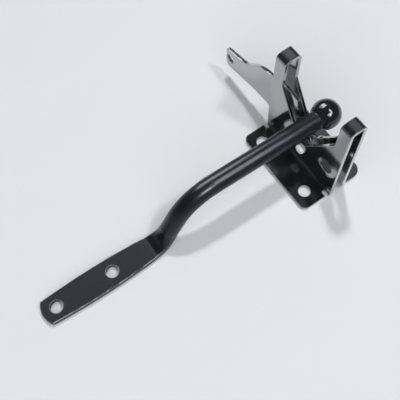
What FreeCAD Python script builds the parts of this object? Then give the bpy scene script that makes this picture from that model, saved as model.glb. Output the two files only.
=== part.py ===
import FreeCAD, Part
import math
import os

# Spring loaded gate latch, in millimetres.
# X runs along the pivot pin and the striker bar, Y along the bracket, Z away from the post.
# The pieces are drawn about the middle of the bracket, on the plane that its flanges rest on,
# and moved at the end so that the origin is midway between the two post screw holes.

# Folded bracket
SHEET = 2.0
WALL_OUTER = 5.5
WALL_INNER = WALL_OUTER - SHEET
FOLD_INNER = 1.5
FOLD_OUTER = FOLD_INNER + SHEET
CAP_FOLD_INNER = 1.3
CAP_FOLD_OUTER = CAP_FOLD_INNER + SHEET
CAP_TOP = 70.0
HORN_OUTER = 30.2
HORN_INNER = 22.4
MOUTH_SHOULDER = 49.3
MOUTH_APEX = 15.1
MOUTH_FILLET = 5.0
SHOULDER_FILLET = 3.0
FLANGE_LEFT = -24.0
FLANGE_RIGHT = 20.0
FLANGE_NEAR = -29.6
FLANGE_FAR = 29.0
LEFT_CORNER = 4.0
RIGHT_CORNER = 6.5
RELIEF_WIDTH = 2.4
RELIEF_DEPTH = 3.0
FAR_TAPER_FOOT = 28.4
FAR_TAPER_TOP = 28.0
SCREW_HOLE = 7.0
LEFT_HOLE_X = -16.0
LEFT_HOLE_Y = 20.0
RIGHT_HOLE_X = 13.6
PADLOCK_HOLE = 10.4
PADLOCK_Y = -20.7
PADLOCK_Z = 24.0

# Pivot pin
PIVOT_Y = -1.0
PIVOT_Z = 13.9
PIN_DIAMETER = 5.8
PIN_STANDOUT = 1.8
PIN_ROUND = 1.0

# Striker bar
ROD_DIAMETER = 11.0
ROD_AXIS_Y = 0.2
ROD_AXIS_Z = 35.7
BALL_DIAMETER = 17.6
BALL_X = 10.0
BAR_YAW = -0.9
BEND_START_X = -66.5
BEND_RADIUS = 27.0
BEND_ANGLE = 60.0
NECK_ROUND_Z = 12.5
NECK_BEND_LENGTH = 8.0
NECK_STEP = 0.26
NECK_SEAT = 1.0
BLADE_THICK = 4.0
BLADE_ROOT_WIDTH = 14.0
BLADE_MID_WIDTH = 16.7
BLADE_LENGTH = 65.2
BLADE_END_WIDTH = 14.3
BLADE_END_BULGE = 2.4
BLADE_HOLE = 7.4
BLADE_HOLE_INSET = 6.1
BLADE_HOLE_SPACING = 35.2
BLADE_EDGE = 0.4

# Latch lever
LEVER_THICK = 2.0
LEVER_SIDE_GAP = 0.2
PIN_RUNNING_GAP = 0.08
HUB_RADIUS = 8.5
THROAT_GAP = 0.9
THROAT_CLOSE_TURN = 33.0
JAW_ANGLE = 98.0
CORD_HOLE = 6.4
CORD_Y = 70.8
CORD_Z = 18.2
TAIL_MARGIN = 4.1

# Torsion spring
WIRE = 1.2
WIRE_SIDES = 10
COIL_RADIUS = 4.6
COIL_PITCH = 1.5
COIL_TURNS = 2
COIL_SIDE_GAP = 0.1
LEVER_LEG_LENGTH = 13.0
WALL_LEG_LENGTH = 13.0
ELBOW_RADIUS = 0.9
WIRE_HOLE_GAP = 0.2


def vec(x, y, z):
    return FreeCAD.Vector(x, y, z)


def cylinder_x(radius, x_start, x_end, y, z):
    return Part.makeCylinder(radius, x_end - x_start, vec(x_start, y, z), vec(1, 0, 0))


def cylinder_z(radius, x, y, z_start, z_end):
    return Part.makeCylinder(radius, z_end - z_start, vec(x, y, z_start), vec(0, 0, 1))


def line(start, end):
    return Part.LineSegment(start, end).toShape()


def arc(start, middle, end):
    return Part.Arc(start, middle, end).toShape()


def polar(radius, degrees):
    """Point of the side view, as (y, z), by its distance and angle from the pivot."""
    turn = math.radians(degrees)
    return PIVOT_Y + radius * math.cos(turn), PIVOT_Z + radius * math.sin(turn)


def side_edges(x, pieces):
    """Edges at one x from (y, z) points: two points make a line and three make an arc."""
    edges = []
    for piece in pieces:
        points = [vec(x, y, z) for y, z in piece]
        edges.append(line(*points) if len(points) == 2 else arc(*points))
    return edges


def corner_arc(x, z, radius, start, end):
    """Three points of a quarter fold in the bracket's cross-section, as vectors at y = 0."""
    middle = (start + end) / 2
    turns = [math.radians(angle) for angle in (start, middle, end)]
    return [vec(x + radius * math.cos(turn), 0, z + radius * math.sin(turn)) for turn in turns]


def folded_section():
    """Hat-shaped section of the sheet: flange, wall, cap, wall and flange."""
    foot = SHEET + FOLD_INNER
    cap = CAP_TOP - CAP_FOLD_OUTER
    cap_x = WALL_OUTER - CAP_FOLD_OUTER
    outer = [
        corner_arc(-WALL_OUTER - FOLD_INNER, foot, FOLD_INNER, -90, 0),
        corner_arc(-cap_x, cap, CAP_FOLD_OUTER, 180, 90),
        corner_arc(cap_x, cap, CAP_FOLD_OUTER, 90, 0),
        corner_arc(WALL_OUTER + FOLD_INNER, foot, FOLD_INNER, 180, 270),
    ]
    inner = [
        corner_arc(WALL_OUTER + FOLD_INNER, foot, FOLD_OUTER, 270, 180),
        corner_arc(cap_x, cap, CAP_FOLD_INNER, 0, 90),
        corner_arc(-cap_x, cap, CAP_FOLD_INNER, 90, 180),
        corner_arc(-WALL_OUTER - FOLD_INNER, foot, FOLD_OUTER, 0, -90),
    ]
    edges = []
    at = vec(FLANGE_LEFT, 0, SHEET)
    for fold in outer:
        edges += [line(at, fold[0]), arc(*fold)]
        at = fold[2]
    for corner in (vec(FLANGE_RIGHT, 0, SHEET), vec(FLANGE_RIGHT, 0, 0)):
        edges.append(line(at, corner))
        at = corner
    for fold in inner:
        edges += [line(at, fold[0]), arc(*fold)]
        at = fold[2]
    edges.append(line(at, vec(FLANGE_LEFT, 0, 0)))
    edges.append(line(vec(FLANGE_LEFT, 0, 0), vec(FLANGE_LEFT, 0, SHEET)))
    return Part.Face(Part.Wire(edges))


def mouth_cutter():
    """Prism that opens the V mouth and parts the two horns."""
    half_angle = math.atan2(HORN_INNER, MOUTH_SHOULDER - MOUTH_APEX)
    centre_z = MOUTH_APEX + MOUTH_FILLET / math.sin(half_angle)
    touch_y = MOUTH_FILLET * math.cos(half_angle)
    touch_z = centre_z - MOUTH_FILLET * math.sin(half_angle)
    above = CAP_TOP + 5.0
    pieces = [
        [(touch_y, touch_z), (HORN_INNER, MOUTH_SHOULDER)],
        [(HORN_INNER, MOUTH_SHOULDER), (HORN_INNER, above)],
        [(HORN_INNER, above), (-HORN_INNER, above)],
        [(-HORN_INNER, above), (-HORN_INNER, MOUTH_SHOULDER)],
        [(-HORN_INNER, MOUTH_SHOULDER), (-touch_y, touch_z)],
        [(-touch_y, touch_z), (0.0, centre_z - MOUTH_FILLET), (touch_y, touch_z)],
    ]
    reach = WALL_OUTER + 1.0
    face = Part.Face(Part.Wire(side_edges(-reach, pieces)))
    prism = face.extrude(vec(2 * reach, 0, 0))
    shoulders = [edge for edge in prism.Edges if is_shoulder(edge)]
    return prism.makeFillet(SHOULDER_FILLET, shoulders)


def is_shoulder(edge):
    """True for the two cutter edges at the corners between the V and the horns."""
    ends = [vertex.Point for vertex in edge.Vertexes]
    flat = all(abs(point.z - MOUTH_SHOULDER) < 0.01 for point in ends)
    return flat and abs(ends[0].y - ends[1].y) < 0.01


def flange_outline(x_free, x_wall, corner):
    """Plan of one flange with two round free corners, as a tall prism."""
    towards = math.copysign(1.0, x_wall - x_free)
    straight = x_free + towards * corner
    bevel = x_free + towards * corner * (1 - math.sqrt(0.5))
    near, far = FLANGE_NEAR, FLANGE_FAR
    inset = corner * (1 - math.sqrt(0.5))
    edges = [
        line(vec(x_wall, near, 0), vec(straight, near, 0)),
        arc(vec(straight, near, 0), vec(bevel, near + inset, 0), vec(x_free, near + corner, 0)),
        line(vec(x_free, near + corner, 0), vec(x_free, far - corner, 0)),
        arc(vec(x_free, far - corner, 0), vec(bevel, far - inset, 0), vec(straight, far, 0)),
        line(vec(straight, far, 0), vec(x_wall, far, 0)),
        line(vec(x_wall, far, 0), vec(x_wall, near, 0)),
    ]
    return Part.Face(Part.Wire(edges)).extrude(vec(0, 0, SHEET))


def wall_keep():
    """Side-view prism around the walls: straight at the near end, tapered at the far foot."""
    pieces = [
        [(-HORN_OUTER, 0), (FAR_TAPER_FOOT, 0)],
        [(FAR_TAPER_FOOT, 0), (HORN_OUTER, FAR_TAPER_TOP)],
        [(HORN_OUTER, FAR_TAPER_TOP), (HORN_OUTER, CAP_TOP)],
        [(HORN_OUTER, CAP_TOP), (-HORN_OUTER, CAP_TOP)],
        [(-HORN_OUTER, CAP_TOP), (-HORN_OUTER, 0)],
    ]
    reach = WALL_OUTER + FOLD_INNER
    return Part.Face(Part.Wire(side_edges(-reach, pieces))).extrude(vec(2 * reach, 0, 0))


def bracket():
    sheet = folded_section().extrude(vec(0, 2 * HORN_OUTER, 0))
    sheet.translate(vec(0, -HORN_OUTER, 0))
    fold_x = WALL_OUTER + FOLD_INNER
    keep = wall_keep().fuse([
        flange_outline(FLANGE_LEFT, -fold_x, LEFT_CORNER),
        flange_outline(FLANGE_RIGHT, fold_x, RIGHT_CORNER),
    ])
    shape = sheet.common(keep)
    reach = WALL_OUTER + 1.0
    pin_end = WALL_OUTER + 1.0
    cuts = [
        mouth_cutter(),
        cylinder_x(PADLOCK_HOLE / 2, -reach, reach, PADLOCK_Y, PADLOCK_Z),
        cylinder_x(PIN_DIAMETER / 2, -pin_end, pin_end, PIVOT_Y, PIVOT_Z),
        cylinder_z(SCREW_HOLE / 2, LEFT_HOLE_X, -LEFT_HOLE_Y, -1, SHEET + 1),
        cylinder_z(SCREW_HOLE / 2, LEFT_HOLE_X, LEFT_HOLE_Y, -1, SHEET + 1),
        cylinder_z(SCREW_HOLE / 2, RIGHT_HOLE_X, 0, -1, SHEET + 1),
        cylinder_x(WIRE / 2 + WIRE_HOLE_GAP, 0, reach, *wall_leg_end()),
    ]
    for side in (-1, 1):
        for end_y, towards in ((-HORN_OUTER, 1), (HORN_OUTER, -1)):
            cuts.append(bend_relief(side, end_y, towards))
    return shape.cut(cuts).removeSplitter()


def bend_relief(side, end_y, towards):
    """Notch with a round end where a wall, its fold and its flange meet the sheet's end."""
    centre_x = side * (WALL_OUTER + FOLD_INNER)
    radius = RELIEF_WIDTH / 2
    round_y = end_y + towards * RELIEF_DEPTH
    height = SHEET + FOLD_INNER
    start_y = min(end_y - towards, round_y)
    slot = Part.makeBox(RELIEF_WIDTH, RELIEF_DEPTH + 1, height, vec(centre_x - radius, start_y, -0.5))
    return slot.fuse(cylinder_z(radius, centre_x, round_y, -0.5, height - 0.5))


def pivot_pin():
    """Pin turned from its half section, with each end rounded in two short slopes."""
    end = WALL_OUTER + PIN_STANDOUT
    radius = PIN_DIAMETER / 2
    half_step = PIN_ROUND * (1 - math.sqrt(0.5))
    rim = [(end, radius - PIN_ROUND), (end - half_step, radius - half_step), (end - PIN_ROUND, radius)]
    outline = [(end, 0.0)] + rim
    outline += [(-x, height) for x, height in reversed(outline)]
    corners = [vec(x, PIVOT_Y, PIVOT_Z + height) for x, height in outline]
    section = Part.Face(Part.makePolygon(corners + corners[:1]))
    return section.revolve(vec(0, PIVOT_Y, PIVOT_Z), vec(1, 0, 0), 360)


def lever_outline():
    """Side view of the lever before its throat is cut, as pieces of (y, z) points."""
    nose_top = (11.2, 46.7)
    nose_front = (9.2, 39.0)
    back_rise = (33.9, 44.3)
    back_drop = (48.0, 37.2)
    waist_start = (54.3, 31.2)
    waist_end = (60.5, 28.0)
    tail_end = CORD_Y + TAIL_MARGIN
    tail_top = (tail_end - 1.6, CORD_Z + 6.6)
    tail_corner = (tail_end, CORD_Z + 4.8)
    tail_low = (tail_end - 0.2, CORD_Z - 3.7)
    tail_foot = (tail_end - 4.0, CORD_Z - 7.9)
    belly_start = (tail_end - 8.6, CORD_Z - 7.3)
    belly_end = (37.1, 16.1)
    neck_low = (11.0, 8.0)
    hub_low = polar(HUB_RADIUS, -75)
    hub_near = polar(HUB_RADIUS, 180)
    jaw_tip = polar(throat_inner(), JAW_ANGLE)
    return [
        [nose_front, nose_top],
        [nose_top, (22.0, 47.9), back_rise],
        [back_rise, (41.5, 41.8), back_drop],
        [back_drop, waist_start],
        [waist_start, (57.0, 29.3), waist_end],
        [waist_end, tail_top],
        [tail_top, (tail_end - 0.4, CORD_Z + 6.0), tail_corner],
        [tail_corner, tail_low],
        [tail_low, (tail_end - 1.2, CORD_Z - 6.7), tail_foot],
        [tail_foot, belly_start],
        [belly_start, (52.0, 14.0), belly_end],
        [belly_end, (23.0, 14.2), neck_low],
        [neck_low, hub_low],
        [hub_low, polar(HUB_RADIUS, -130), hub_near],
        [hub_near, (-7.6, 22.5), jaw_tip],
        [jaw_tip, nose_front],
    ]


def rod_distance():
    return math.hypot(ROD_AXIS_Y - PIVOT_Y, ROD_AXIS_Z - PIVOT_Z)


def rod_angle():
    return math.degrees(math.atan2(ROD_AXIS_Z - PIVOT_Z, ROD_AXIS_Y - PIVOT_Y))


def throat_inner():
    return rod_distance() - ROD_DIAMETER / 2 - THROAT_GAP


def throat_outer():
    return rod_distance() + ROD_DIAMETER / 2 + THROAT_GAP


def throat_cutter(x_start, x_end):
    """Curved slot about the pivot that lets the hook swing over the bar."""
    inner, outer = throat_inner(), throat_outer()
    end = rod_angle() - THROAT_CLOSE_TURN
    open_end = rod_angle() + 40.0
    middle = (end + open_end) / 2
    pieces = [
        [polar(inner, open_end), polar(inner, middle), polar(inner, end)],
        [polar(inner, end), throat_end_point(end), polar(outer, end)],
        [polar(outer, end), polar(outer, middle), polar(outer, open_end)],
        [polar(outer, open_end), polar(inner, open_end)],
    ]
    face = Part.Face(Part.Wire(side_edges(x_start, pieces)))
    return face.extrude(vec(x_end - x_start, 0, 0))


def throat_end_point(end):
    """Deepest point of the throat's half-round end."""
    centre_y, centre_z = polar(rod_distance(), end)
    radius = (throat_outer() - throat_inner()) / 2
    turn = math.radians(end - 90.0)
    return centre_y + radius * math.cos(turn), centre_z + radius * math.sin(turn)


def latch_lever():
    x_start = -WALL_INNER + LEVER_SIDE_GAP
    x_end = x_start + LEVER_THICK
    plate = Part.Face(Part.Wire(side_edges(x_start, lever_outline()))).extrude(vec(LEVER_THICK, 0, 0))
    reach = 1.0
    hole = PIN_DIAMETER / 2 + PIN_RUNNING_GAP
    cuts = [
        throat_cutter(x_start - reach, x_end + reach),
        cylinder_x(hole, x_start - reach, x_end + reach, PIVOT_Y, PIVOT_Z),
        cylinder_x(CORD_HOLE / 2, x_start - reach, x_end + reach, CORD_Y, CORD_Z),
        cylinder_x(WIRE / 2 + WIRE_HOLE_GAP, x_start - reach, x_end + reach, *lever_leg_end()),
    ]
    return plate.cut(cuts)


def lever_leg_end():
    """Where the spring's lever leg turns into the lever, as (y, z)."""
    return PIVOT_Y + LEVER_LEG_LENGTH, PIVOT_Z + COIL_RADIUS


def wall_leg_end():
    """Where the spring's other leg turns into the right wall, as (y, z)."""
    return PIVOT_Y - WALL_LEG_LENGTH, PIVOT_Z + COIL_RADIUS


def rod_between(start, end, radius):
    along = end - start
    return Part.makeCylinder(radius, along.Length, start, along)


def wire_section(centre):
    """Many-sided section of the wire, facing along Y, with the round wire's area."""
    step = 2 * math.pi / WIRE_SIDES
    radius = WIRE / 2 * math.sqrt(step / math.sin(step))
    turns = [step * index for index in range(WIRE_SIDES)]
    corners = [centre + vec(radius * math.cos(turn), 0, radius * math.sin(turn)) for turn in turns]
    return Part.Face(Part.makePolygon(corners + corners[:1]))


def straight(section, run):
    """Straight wire from a section, which then moves on to the wire's new end."""
    piece = section.extrude(run)
    section.translate(run)
    return piece


def bend(section, centre, axis, angle):
    """Bent wire from a section, which then turns with it to the wire's new end."""
    piece = section.revolve(centre, axis, angle)
    section.rotate(centre, axis, angle)
    return piece


def half_turn(section, start, top):
    """Half a turn of the coil, from its top or its bottom, tilted to advance half a pitch."""
    across = vec(COIL_PITCH / 2, 0, -2 * COIL_RADIUS if top else 2 * COIL_RADIUS)
    axis = vec(0, 1 if top else -1, 0).cross(across)
    return bend(section, start + across / 2, axis, -180)


def leg(section, coil_end, turn, tip_x, end_side, leg_side):
    """Straight leg, elbow and tip; turn is the corner where the leg's and the tip's lines meet."""
    bend_start = turn - vec(0, leg_side * ELBOW_RADIUS, 0)
    bend_end = turn + vec(end_side * ELBOW_RADIUS, 0, 0)
    elbow_centre = bend_start + vec(end_side * ELBOW_RADIUS, 0, 0)
    return [
        straight(section, bend_start - coil_end),
        bend(section, elbow_centre, vec(0, 0, -end_side * leg_side), 90),
        straight(section, vec(tip_x - bend_end.x, 0, 0)),
    ]


def torsion_spring():
    lever_x = -WALL_INNER + LEVER_SIDE_GAP
    first = vec(lever_x + LEVER_THICK + COIL_SIDE_GAP + WIRE / 2, PIVOT_Y, PIVOT_Z + COIL_RADIUS)
    last = first + vec(COIL_PITCH * COIL_TURNS, 0, 0)
    wire = leg(wire_section(first), first, vec(first.x, *lever_leg_end()), lever_x, -1, 1)
    section = wire_section(first)
    for turn in range(COIL_TURNS):
        top = first + vec(COIL_PITCH * turn, 0, 0)
        bottom = top + vec(COIL_PITCH / 2, 0, -2 * COIL_RADIUS)
        wire += [half_turn(section, top, True), half_turn(section, bottom, False)]
    wire += leg(section, last, vec(last.x, *wall_leg_end()), WALL_OUTER, 1, -1)
    return wire[0].fuse(wire[1:])


def bend_centre_z():
    return ROD_AXIS_Z - BEND_RADIUS


def bend_end_z():
    return bend_centre_z() + BEND_RADIUS * math.cos(math.radians(BEND_ANGLE))


def slope_point(z):
    """Point of the bar's centreline on the straight slope, at one height."""
    turn = math.radians(BEND_ANGLE)
    end_x = BEND_START_X - BEND_RADIUS * math.sin(turn)
    return vec(end_x - (bend_end_z() - z) / math.tan(turn), ROD_AXIS_Y, z)


def blade_root_x():
    """Where the blade's flat top ends and the neck starts to rise."""
    return slope_point(BLADE_THICK / 2).x - NECK_BEND_LENGTH


def neck_bend_point(turn):
    """Point of the centreline in the lower bend, after it has risen by turn degrees."""
    radius = NECK_BEND_LENGTH / math.tan(math.radians(BEND_ANGLE / 2))
    angle = math.radians(turn)
    rise = radius * (1 - math.cos(angle))
    return vec(blade_root_x() + radius * math.sin(angle), ROD_AXIS_Y, BLADE_THICK / 2 + rise)


def rounded_section(centre, width, thick, corner, tilt):
    """Rounded rectangle across the bar, square to a centreline that rises by tilt degrees."""
    half_w, half_t = width / 2, thick / 2
    bevel = corner * (1 - math.sqrt(0.5))
    flat_w, flat_t = half_w - corner, half_t - corner
    side_w, side_t = half_w - bevel, half_t - bevel
    points = [
        [(flat_w, half_t), (side_w, side_t), (half_w, flat_t)],
        [(half_w, -flat_t), (side_w, -side_t), (flat_w, -half_t)],
        [(-flat_w, -half_t), (-side_w, -side_t), (-half_w, -flat_t)],
        [(-half_w, flat_t), (-side_w, side_t), (-flat_w, half_t)],
    ]
    corners = [[vec(0, y, z) for y, z in corner_points] for corner_points in points]
    edges = []
    for index, three in enumerate(corners):
        following = corners[(index + 1) % len(corners)]
        edges += [arc(*three), line(three[2], following[0])]
    wire = Part.Wire(edges)
    wire.rotate(vec(0, 0, 0), vec(0, 1, 0), -tilt)
    wire.translate(centre)
    return wire


def neck_section(centre, share, tilt):
    """Section of the neck: the blade's at share 0 and the round rod's at share 1."""
    width = BLADE_ROOT_WIDTH + share * (ROD_DIAMETER - BLADE_ROOT_WIDTH) - NECK_STEP
    thick = BLADE_THICK + share * (ROD_DIAMETER - BLADE_THICK) - NECK_STEP
    corner = BLADE_EDGE + share * (ROD_DIAMETER / 2 - BLADE_EDGE - 2 * NECK_STEP)
    return rounded_section(centre, width, thick, corner, tilt)


def flattened_neck():
    """Forged change from the flat blade to the round rod, seated a little way into both."""
    seat = vec(blade_root_x() - NECK_SEAT, ROD_AXIS_Y, BLADE_THICK / 2)
    sections = [neck_section(seat, 0, 0)]
    steps = 3
    for step in range(1, steps):
        turn = BEND_ANGLE * step / steps
        sections.append(neck_section(neck_bend_point(turn), (step / steps) ** 1.5, turn))
    sections.append(neck_section(slope_point(NECK_ROUND_Z + NECK_SEAT), 1, BEND_ANGLE))
    return Part.makeLoft(sections, True, False)


def blade():
    """Flat end of the bar: barrel-shaped sides, bowed end and two screw holes."""
    root, middle, end = BLADE_ROOT_WIDTH / 2, BLADE_MID_WIDTH / 2, BLADE_END_WIDTH / 2
    root_x = blade_root_x()
    end_x = root_x - BLADE_LENGTH
    middle_x = (root_x + end_x) / 2
    bow_x = end_x - BLADE_END_BULGE
    y = ROD_AXIS_Y
    edges = [
        arc(vec(root_x, y + root, 0), vec(middle_x, y + middle, 0), vec(end_x, y + end, 0)),
        arc(vec(end_x, y + end, 0), vec(bow_x, y, 0), vec(end_x, y - end, 0)),
        arc(vec(end_x, y - end, 0), vec(middle_x, y - middle, 0), vec(root_x, y - root, 0)),
        line(vec(root_x, y - root, 0), vec(root_x, y + root, 0)),
    ]
    plate = Part.Face(Part.Wire(edges)).extrude(vec(0, 0, BLADE_THICK))
    soft = [edge for edge in plate.Edges if abs(edge.CenterOfMass.x - root_x) > 0.01]
    plate = plate.makeFillet(BLADE_EDGE, soft)
    outer_hole_x = end_x + BLADE_HOLE_INSET
    hole_places = (outer_hole_x, outer_hole_x + BLADE_HOLE_SPACING)
    holes = [cylinder_z(BLADE_HOLE / 2, x, y, -1, BLADE_THICK + 1) for x in hole_places]
    return plate.cut(holes)


def upper_bend():
    centre = vec(BEND_START_X, ROD_AXIS_Y, ROD_AXIS_Z)
    disc = Part.Face(Part.Wire(Part.makeCircle(ROD_DIAMETER / 2, centre, vec(1, 0, 0))))
    return disc.revolve(vec(BEND_START_X, ROD_AXIS_Y, bend_centre_z()), vec(0, 1, 0), -BEND_ANGLE)


def striker_bar():
    radius = ROD_DIAMETER / 2
    ball_centre = vec(BALL_X, ROD_AXIS_Y, ROD_AXIS_Z)
    shape = cylinder_x(radius, BEND_START_X, BALL_X, ROD_AXIS_Y, ROD_AXIS_Z).fuse([
        Part.makeSphere(BALL_DIAMETER / 2, ball_centre),
        upper_bend(),
        rod_between(slope_point(bend_end_z()), slope_point(NECK_ROUND_Z), radius),
        flattened_neck(),
        blade(),
    ])
    shape.rotate(ball_centre, vec(0, 0, 1), BAR_YAW)
    return shape


NODES = {
    "bracket": bracket,
    "pivot_pin": pivot_pin,
    "latch_lever": latch_lever,
    "torsion_spring": torsion_spring,
    "striker_bar": striker_bar,
}

os.makedirs("parts", exist_ok=True)
for node, make in NODES.items():
    shape = make()
    shape.translate(vec(-LEFT_HOLE_X, 0, 0))
    solid = shape.Solids[0] if len(shape.Solids) == 1 else shape
    print(node, "valid", solid.isValid(), "solids", len(shape.Solids), "volume", round(shape.Volume, 1))
    solid.exportStep("parts/" + node + ".step")
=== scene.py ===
import math

import bpy
from mathutils import Matrix, Vector


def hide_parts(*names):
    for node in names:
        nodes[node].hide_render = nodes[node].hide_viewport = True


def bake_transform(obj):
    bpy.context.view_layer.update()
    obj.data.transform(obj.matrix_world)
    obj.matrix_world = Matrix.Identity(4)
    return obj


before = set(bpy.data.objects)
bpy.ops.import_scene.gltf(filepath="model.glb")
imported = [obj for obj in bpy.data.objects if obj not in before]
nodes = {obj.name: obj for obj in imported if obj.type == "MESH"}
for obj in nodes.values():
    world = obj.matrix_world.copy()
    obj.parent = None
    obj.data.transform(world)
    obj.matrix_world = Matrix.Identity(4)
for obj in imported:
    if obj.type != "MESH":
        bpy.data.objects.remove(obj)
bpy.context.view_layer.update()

scene = bpy.context.scene
print("frame loaded:", ", ".join(sorted(nodes)))


# camera, placed as in the photograph: metres, degrees, and millimetres for lens and sensor

cameraLook = {
    "place": (-0.14937, -0.12813, 0.37508),
    "azimuth": 34.91, "elevation": 65.63, "roll": -0.39,
    "lens": 63.77, "sensor": 36.0, "clipStart": 0.01,
}

turn, tip, roll = (math.radians(cameraLook[key]) for key in ("azimuth", "elevation", "roll"))
forward = Vector((math.sin(turn) * math.cos(tip), math.cos(turn) * math.cos(tip), -math.sin(tip)))
level = Vector((math.cos(turn), -math.sin(turn), 0))
upright = level.cross(forward)
right = math.cos(roll) * level + math.sin(roll) * upright
up = -math.sin(roll) * level + math.cos(roll) * upright
pose = Matrix((right, up, -forward)).transposed().to_4x4()
pose.translation = Vector(cameraLook["place"])
cameraData = bpy.data.cameras.new("photoCamera")
cameraData.lens = cameraLook["lens"]
cameraData.sensor_width = cameraLook["sensor"]
cameraData.clip_start = cameraLook["clipStart"]
camera = bpy.data.objects.new("photoCamera", cameraData)
camera.matrix_world = pose
scene.collection.objects.link(camera)
scene.camera = camera
scene.view_settings.view_transform = "Standard"
print("camera set")


# patterns that the finishes share: detail and roughness of each noise, and where each pattern
# starts and is full; the edge band is the cosine to the rounded edge's normal

patternLook = {
    "cloud": (3.0, 0.55), "grain": (2.0, 0.5), "scuff": (5.0, 0.65), "brush": (3.0, 0.6),
    "colourBand": (0.35, 0.65), "roughBand": (0.3, 0.7), "scuffBand": (0.55, 0.75),
    "wearAndGlintBand": (0.35, 0.6), "edgeBand": (0.94, 0.78), "bevelSamples": 8,
}


def newMaterial(name):
    material = bpy.data.materials.new(name)
    material.use_nodes = True
    tree = material.node_tree
    tree.nodes.clear()
    output = tree.nodes.new("ShaderNodeOutputMaterial")
    shader = tree.nodes.new("ShaderNodeBsdfPrincipled")
    tree.links.new(shader.outputs["BSDF"], output.inputs["Surface"])
    return material, tree, shader


def objectPlace(tree, stretch=(1, 1, 1)):
    place = tree.nodes.new("ShaderNodeTexCoord")
    mapping = tree.nodes.new("ShaderNodeMapping")
    mapping.inputs["Scale"].default_value = stretch
    tree.links.new(place.outputs["Object"], mapping.inputs["Vector"])
    return mapping.outputs["Vector"]


def splitAxes(tree, vector):
    node = tree.nodes.new("ShaderNodeSeparateXYZ")
    tree.links.new(vector, node.inputs["Vector"])
    return node.outputs


def noise(tree, place, kind, scale):
    node = tree.nodes.new("ShaderNodeTexNoise")
    node.inputs["Scale"].default_value = scale
    node.inputs["Detail"].default_value, node.inputs["Roughness"].default_value = patternLook[kind]
    tree.links.new(place, node.inputs["Vector"])
    return node.outputs["Fac"]


def remap(tree, value, fromBand, toBand=(0.0, 1.0)):
    node = tree.nodes.new("ShaderNodeMapRange")
    node.inputs["From Min"].default_value, node.inputs["From Max"].default_value = fromBand
    node.inputs["To Min"].default_value, node.inputs["To Max"].default_value = toBand
    tree.links.new(value, node.inputs["Value"])
    return node.outputs["Result"]


def arithmetic(tree, kind, *values):
    node = tree.nodes.new("ShaderNodeMath")
    node.operation = kind
    for socket, value in zip(node.inputs, values):
        if isinstance(value, (int, float)):
            socket.default_value = value
        else:
            tree.links.new(value, socket)
    return node.outputs[0]


def mixColour(tree, amount, first, second):
    node = tree.nodes.new("ShaderNodeMix")
    node.data_type = "RGBA"
    tree.links.new(amount, node.inputs["Factor"])
    for name, value in (("A", first), ("B", second)):
        socket = [s for s in node.inputs if s.name == name and s.type == "RGBA"][0]
        if isinstance(value, tuple):
            socket.default_value = (*value, 1)
        else:
            tree.links.new(value, socket)
    return [s for s in node.outputs if s.type == "RGBA"][0]


def softEdge(tree, radius):
    bevel = tree.nodes.new("ShaderNodeBevel")
    bevel.samples = patternLook["bevelSamples"]
    bevel.inputs["Radius"].default_value = radius
    return bevel.outputs["Normal"]


def edgeMask(tree, radius):
    geometry = tree.nodes.new("ShaderNodeNewGeometry")
    dot = tree.nodes.new("ShaderNodeVectorMath")
    dot.operation = "DOT_PRODUCT"
    tree.links.new(softEdge(tree, radius), dot.inputs[0])
    tree.links.new(geometry.outputs["Normal"], dot.inputs[1])
    return remap(tree, dot.outputs["Value"], patternLook["edgeBand"])


def bump(tree, shader, height, strength, distance, normal=None):
    node = tree.nodes.new("ShaderNodeBump")
    node.inputs["Strength"].default_value = strength
    node.inputs["Distance"].default_value = distance
    tree.links.new(height, node.inputs["Height"])
    if normal is not None:
        tree.links.new(normal, node.inputs["Normal"])
    for name in ("Normal", "Coat Normal"):
        tree.links.new(node.outputs["Normal"], shader.inputs[name])


# black coats: cloudy colour, fine grain, scuffs, and pale cut edges, partly wear and partly a
# painted highlight

def barZones(tree, shader, look, place, colour, rough):
    # the ball at the bar's end is polished
    reach = splitAxes(tree, place)["X"]
    ball = remap(tree, reach, look["ballBand"])
    polish = arithmetic(tree, "MULTIPLY", ball, look["ballSmooth"])
    rough = arithmetic(tree, "SUBTRACT", rough, polish)
    coat = remap(tree, ball, (0.0, 1.0), (look["coat"], look["ballCoat"]))
    tree.links.new(coat, shader.inputs["Coat Weight"])

    # the forged blade's flat faces are duller than the rod
    blade = remap(tree, reach, look["bladeBand"], (0.0, look["bladeDull"]))
    surface = tree.nodes.new("ShaderNodeTexCoord")
    tilt = splitAxes(tree, surface.outputs["Normal"])
    upward = arithmetic(tree, "ABSOLUTE", tilt["Z"])
    flat = remap(tree, upward, look["flatBand"])
    rough = arithmetic(tree, "ADD", rough, arithmetic(tree, "MULTIPLY", blade, flat))

    # its long rounded edges are painted pale, partly as rubbing and partly as a painted highlight;
    # the slope up to the neck is not
    rounded = arithmetic(tree, "SUBTRACT", remap(tree, upward, look["roundBand"]), flat)
    lengthways = arithmetic(tree, "ABSOLUTE", tilt["X"])
    longEdge = remap(tree, lengthways, look["slopeBand"], (look["rubbedAndPaintedGlint"], 0.0))
    rubbedAndPaintedGlint = arithmetic(tree, "MULTIPLY", arithmetic(tree, "MULTIPLY", rounded, longEdge), blade)
    return mixColour(tree, rubbedAndPaintedGlint, colour, look["edgeColour"]), rough


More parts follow.
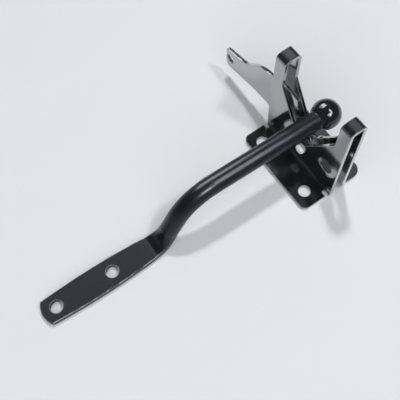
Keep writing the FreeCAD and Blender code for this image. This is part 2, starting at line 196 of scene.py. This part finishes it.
def blackCoat(name, look):
    material, tree, shader = newMaterial(name)
    place = objectPlace(tree)
    cloud = noise(tree, place, "cloud", look["cloudScale"])
    grain = noise(tree, place, "grain", look["grainScale"])
    scuff = noise(tree, objectPlace(tree, look["scuffStretch"]), "scuff", look["scuffScale"])
    clouded = remap(tree, cloud, patternLook["colourBand"])
    colour = mixColour(tree, clouded, look["dark"], look["light"])
    # pale cut edges: partly wear, partly a painted highlight standing in for light caught on the
    # rims
    wornAndGlinting = remap(tree, scuff, patternLook["wearAndGlintBand"], look["edgeWearAndPaintedGlint"])
    edge = arithmetic(tree, "MULTIPLY", edgeMask(tree, look["edgeRadius"]), wornAndGlinting)
    colour = mixColour(tree, edge, colour, look["edgeColour"])
    scuffed = remap(tree, scuff, patternLook["scuffBand"], (0.0, look["scuffRough"]))
    rough = remap(tree, cloud, patternLook["roughBand"], look["rough"])
    rough = arithmetic(tree, "ADD", rough, scuffed)
    if "ballBand" in look:
        colour, rough = barZones(tree, shader, look, place, colour, rough)
    if "coatAslant" in look:
        # black seen straight on, and mirrors when seen aslant
        aslant = tree.nodes.new("ShaderNodeLayerWeight")
        aslant.inputs["Blend"].default_value = look["aslantBlend"]
        coat = remap(tree, aslant.outputs["Facing"], look["aslantBand"],
                     (look["coat"], look["coatAslant"]))
        tree.links.new(coat, shader.inputs["Coat Weight"])
    tree.links.new(colour, shader.inputs["Base Color"])
    tree.links.new(rough, shader.inputs["Roughness"])
    rounding = softEdge(tree, look["edgeRound"])
    bump(tree, shader, grain, look["grainStrength"], look["grainHeight"], rounding)
    shader.inputs["IOR"].default_value = look["ior"]
    shader.inputs["Specular Tint"].default_value = (*look["tint"], 1)
    shader.inputs["Coat Weight"].default_value = look["coat"]  # for readers that skip its link
    shader.inputs["Coat Roughness"].default_value = look["coatRough"]
    shader.inputs["Coat IOR"].default_value = look["coatIor"]
    return material


# bare metals: a drawn grain in the roughness and the bump, and bright edges

def drawnMetal(name, look):
    material, tree, shader = newMaterial(name)
    brush = noise(tree, objectPlace(tree, look["brushStretch"]), "brush", look["brushScale"])
    cloud = noise(tree, objectPlace(tree), "cloud", look["cloudScale"])
    clouded = remap(tree, cloud, patternLook["colourBand"])
    colour = mixColour(tree, clouded, look["dark"], look["light"])
    edge = arithmetic(tree, "MULTIPLY", edgeMask(tree, look["edgeRadius"]), look["edgeShine"])
    colour = mixColour(tree, edge, colour, look["edgeColour"])
    tree.links.new(colour, shader.inputs["Base Color"])
    rough = remap(tree, brush, patternLook["roughBand"], look["rough"])
    tree.links.new(rough, shader.inputs["Roughness"])
    bump(tree, shader, brush, look["brushStrength"], look["brushHeight"])
    shader.inputs["Metallic"].default_value = look["metallic"]
    return material


# pairs are the least and the most of a value, or where along a measure it starts and is full

bracketLook = {
    "dark": (0.007, 0.0072, 0.008), "light": (0.011, 0.0113, 0.0125), "cloudScale": 45.0,
    "grainScale": 1200.0, "grainStrength": 0.05, "grainHeight": 0.00006,
    "scuffScale": 220.0, "scuffStretch": (1, 1, 1), "scuffRough": 0.05,
    # the pale colour on the cut edges is partly wear and partly a painted highlight
    "edgeRadius": 0.0011, "edgeWearAndPaintedGlint": (0.3, 0.9), "edgeColour": (0.55, 0.56, 0.59),
    "edgeRound": 0.0005, "rough": (0.13, 0.18), "ior": 1.6, "tint": (0.86, 0.91, 1.0),
    "coat": 0.1, "coatRough": 0.08, "coatIor": 2.7,
    "coatAslant": 1.0, "aslantBlend": 0.5, "aslantBand": (0.15, 0.55),
}

leverLook = dict(bracketLook, ior=1.7, coatIor=3.1)

barLook = {
    "dark": (0.007, 0.0072, 0.009), "light": (0.011, 0.011, 0.0145), "cloudScale": 60.0,
    "grainScale": 900.0, "grainStrength": 0.4, "grainHeight": 0.00008,
    "scuffScale": 180.0, "scuffStretch": (0.35, 1, 1), "scuffRough": 0.06,
    # the pale colour on the cut edges is partly wear and partly a painted highlight
    "edgeRadius": 0.0012, "edgeWearAndPaintedGlint": (0.25, 0.85), "edgeColour": (0.50, 0.51, 0.54),
    "edgeRound": 0.0005, "rough": (0.28, 0.35), "ior": 1.28, "tint": (0.72, 0.80, 1.0),
    "coat": 0.14, "coatRough": 0.12, "coatIor": 1.5,
    "ballBand": (0.018, 0.021), "ballSmooth": 0.18, "ballCoat": 0.55,
    # the pale blade edges are partly rubbing and partly a painted highlight
    "bladeBand": (-0.084, -0.1), "bladeDull": 0.28, "rubbedAndPaintedGlint": 3.0,
    "flatBand": (0.93, 0.99), "roundBand": (0.3, 0.7), "slopeBand": (0.12, 0.3),
}

zincLook = {
    "dark": (0.94, 0.945, 0.96), "light": (0.98, 0.98, 0.99), "cloudScale": 300.0,
    "brushScale": 900.0, "brushStretch": (0.2, 1, 1),
    "brushStrength": 0.12, "brushHeight": 0.00005,
    "edgeRadius": 0.0003, "edgeShine": 0.4, "edgeColour": (0.97, 0.97, 0.98),
    "rough": (0.32, 0.42), "metallic": 0.05,
}

springLook = dict(
    zincLook, dark=(0.36, 0.37, 0.39), light=(0.52, 0.53, 0.56),
    rough=(0.25, 0.4), metallic=1.0, edgeShine=0.0,
)


# torsion spring: one round wire, swept from its end in the lever to its end in the right wall

springShape = {
    "wire": 0.0006, "sides": 20,
    "axisY": -0.001, "axisZ": 0.0139, "radius": 0.0046,
    "coilStart": 0.0154, "pitch": 0.0015, "turns": 2, "halfTurnSteps": 26,
    "elbow": 0.0009, "elbowSteps": 8,
    "leverTipX": 0.0127, "leverLegY": 0.012,
    "wallTipX": 0.0215, "wallLegY": -0.014,
    "stillFrom": 0.0178, "turnsFrom": 0.0160,
    "mergeWithin": 0.00001, "smoothBelow": 40,
}


def wireRun(run):
    bpy.ops.mesh.extrude_region_move(TRANSFORM_OT_translate={"value": run})


def wireBend(centre, axis, degrees, steps):
    # with no window, spin turns the other way round
    bpy.ops.mesh.spin(steps=steps, angle=-math.radians(degrees), center=centre, axis=axis)


def makeSpring(shape):
    top = shape["axisZ"] + shape["radius"]
    drop = 2 * shape["radius"]
    coilEnd = shape["coilStart"] + shape["pitch"] * shape["turns"]
    bpy.ops.object.select_all(action="DESELECT")
    bpy.ops.mesh.primitive_circle_add(
        vertices=shape["sides"], radius=shape["wire"], fill_type="NGON",
        location=(shape["leverTipX"], shape["leverLegY"], top), rotation=(0, math.pi / 2, 0),
    )
    spring = bpy.context.object
    bpy.ops.object.transform_apply(location=True, rotation=True, scale=True)
    bpy.ops.object.mode_set(mode="EDIT")
    bpy.ops.mesh.select_all(action="SELECT")

    # tip and leg in the lever
    elbowX = shape["coilStart"] - shape["elbow"]
    elbowY = shape["leverLegY"] - shape["elbow"]
    wireRun((elbowX - shape["leverTipX"], 0, 0))
    wireBend((elbowX, elbowY, top), (0, 0, 1), -90, shape["elbowSteps"])
    wireRun((0, shape["axisY"] - elbowY, 0))

    # coil, in half turns that each move half a pitch along
    step = shape["pitch"] / 2
    for half in range(2 * shape["turns"]):
        fromTop = half % 2 == 0
        startX = shape["coilStart"] + half * step
        start = Vector((startX, shape["axisY"], top if fromTop else top - drop))
        across = Vector((step, 0, -drop if fromTop else drop))
        axis = Vector((0, 1 if fromTop else -1, 0)).cross(across).normalized()
        wireBend(start + across / 2, axis, -180, shape["halfTurnSteps"])

    # leg and tip in the right wall
    elbowY = shape["wallLegY"] + shape["elbow"]
    wireRun((0, elbowY - shape["axisY"], 0))
    wireBend((coilEnd + shape["elbow"], elbowY, top), (0, 0, 1), 90, shape["elbowSteps"])
    wireRun((shape["wallTipX"] - coilEnd - shape["elbow"], 0, 0))

    bpy.ops.mesh.select_all(action="SELECT")
    bpy.ops.mesh.remove_doubles(threshold=shape["mergeWithin"])
    bpy.ops.mesh.normals_make_consistent(inside=False)
    bpy.ops.object.mode_set(mode="OBJECT")
    bpy.ops.object.shade_smooth_by_angle(angle=math.radians(shape["smoothBelow"]))
    return spring


spring = makeSpring(springShape)
spring.name = "springWire"
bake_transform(spring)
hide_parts("torsion_spring")
print("spring wound:", len(spring.data.vertices), "points")


# finishes on the pieces; the hidden CAD spring gets the wire's

finishes = {
    nodes["bracket"]: blackCoat("glossBlackBracket", bracketLook),
    nodes["latch_lever"]: blackCoat("glossBlackLever", leverLook),
    nodes["striker_bar"]: blackCoat("satinBlackBar", barLook),
    nodes["pivot_pin"]: drawnMetal("brightZincPin", zincLook),
    spring: drawnMetal("drawnSpringWire", springLook),
}
finishes[nodes["torsion_spring"]] = finishes[spring]

for piece, material in finishes.items():
    if not piece.material_slots:
        piece.data.materials.append(material)
    for slot in piece.material_slots:
        slot.material = material
print("finishes given to", len(finishes), "pieces")


# pale floor, just under the latch; the gloss of the steel shows it as white, with its shadows

floorLook = {
    "size": 8.0, "height": -0.00005, "rough": 0.7, "shine": 0.0,
    "colour": (0.80, 0.82, 0.84), "mirrored": (0.95, 0.965, 1.0),
}

bpy.ops.object.select_all(action="DESELECT")
bpy.ops.mesh.primitive_plane_add(size=floorLook["size"], location=(0, 0, floorLook["height"]))
floor = bpy.context.object
floor.name = "paleFloor"
floorMaterial, floorTree, floorShader = newMaterial("paleFloorPaint")
inGloss = floorTree.nodes.new("ShaderNodeLightPath").outputs["Is Glossy Ray"]
floorColour = mixColour(floorTree, inGloss, floorLook["colour"], floorLook["mirrored"])
floorTree.links.new(floorColour, floorShader.inputs["Base Color"])
floorShader.inputs["Roughness"].default_value = floorLook["rough"]
floorShader.inputs["Specular IOR Level"].default_value = floorLook["shine"]
floor.data.materials.append(floorMaterial)
print("floor laid")


# soft studio light under a sky that is darker overhead: metres, watts and degrees
# gloss=False keeps a panel out of reflections, and matt=False leaves it in them only

lightLook = {
    "aim": (-0.05, 0.0, 0.02),
    "skyHigh": (0.05, 0.053, 0.06), "skyLow": (0.25, 0.27, 0.30),
    "skyBand": (0.0, 0.7), "skyStrength": 1.0,
    "panels": {
        "backPanel": dict(place=(0.29, 0.42, 1.43), size=(0.12, 0.12), power=8.2, gloss=False),
        "frontPanel": dict(place=(0.37, -0.53, 1.43), size=(0.16, 0.16), power=5.6, gloss=False),
        "fillPanel": dict(place=(-1.1, -0.9, 1.4), size=(2.4, 2.4), power=26.5, gloss=False),
        "softPanel": dict(place=(0.06, 1.3, 1.34), size=(1.1, 0.9), power=50, turn=-8, matt=False),
        "capPanel": dict(place=(0.76, 0.6, 1.34), size=(0.26, 0.7), power=0.48),
        "cornerPanel": dict(place=(0.46, 0.2, 1.4), size=(0.14, 0.32), power=0.11, matt=False),
        "stripPanel": dict(place=(0.4, -0.62, 1.42), size=(0.3, 1.0), power=17, matt=False),
        "bendPanel": dict(place=(-0.2, -1.17, 1.42), size=(0.7, 0.5), power=44, matt=False),
    },
}

world = bpy.data.worlds.new("studioWorld")
world.use_nodes = True
worldTree = world.node_tree
background = worldTree.nodes["Background"]
background.inputs["Strength"].default_value = lightLook["skyStrength"]
direction = worldTree.nodes.new("ShaderNodeTexCoord")
height = splitAxes(worldTree, direction.outputs["Generated"])["Z"]
overhead = remap(worldTree, height, lightLook["skyBand"])
sky = mixColour(worldTree, overhead, lightLook["skyLow"], lightLook["skyHigh"])
worldTree.links.new(sky, background.inputs["Color"])
scene.world = world

aim = Vector(lightLook["aim"])
for name, panel in lightLook["panels"].items():
    place = Vector(panel["place"])
    back = (place - aim).normalized()
    across = (Vector((1, 0, 0)) - back * back.x).normalized()
    facing = Matrix((across, back.cross(across), back)).transposed()
    turned = Matrix.Rotation(math.radians(panel.get("turn", 0)), 3, "Z")
    lampData = bpy.data.lights.new(name, "AREA")
    lampData.shape = "RECTANGLE"
    lampData.size, lampData.size_y = panel["size"]
    lampData.energy = panel["power"]
    lamp = bpy.data.objects.new(name, lampData)
    lamp.location = place
    lamp.rotation_euler = (facing @ turned).to_euler()
    lamp.visible_glossy = panel.get("gloss", True)
    lamp.visible_diffuse = panel.get("matt", True)
    scene.collection.objects.link(lamp)
print("lights set:", len(lightLook["panels"]), "panels")
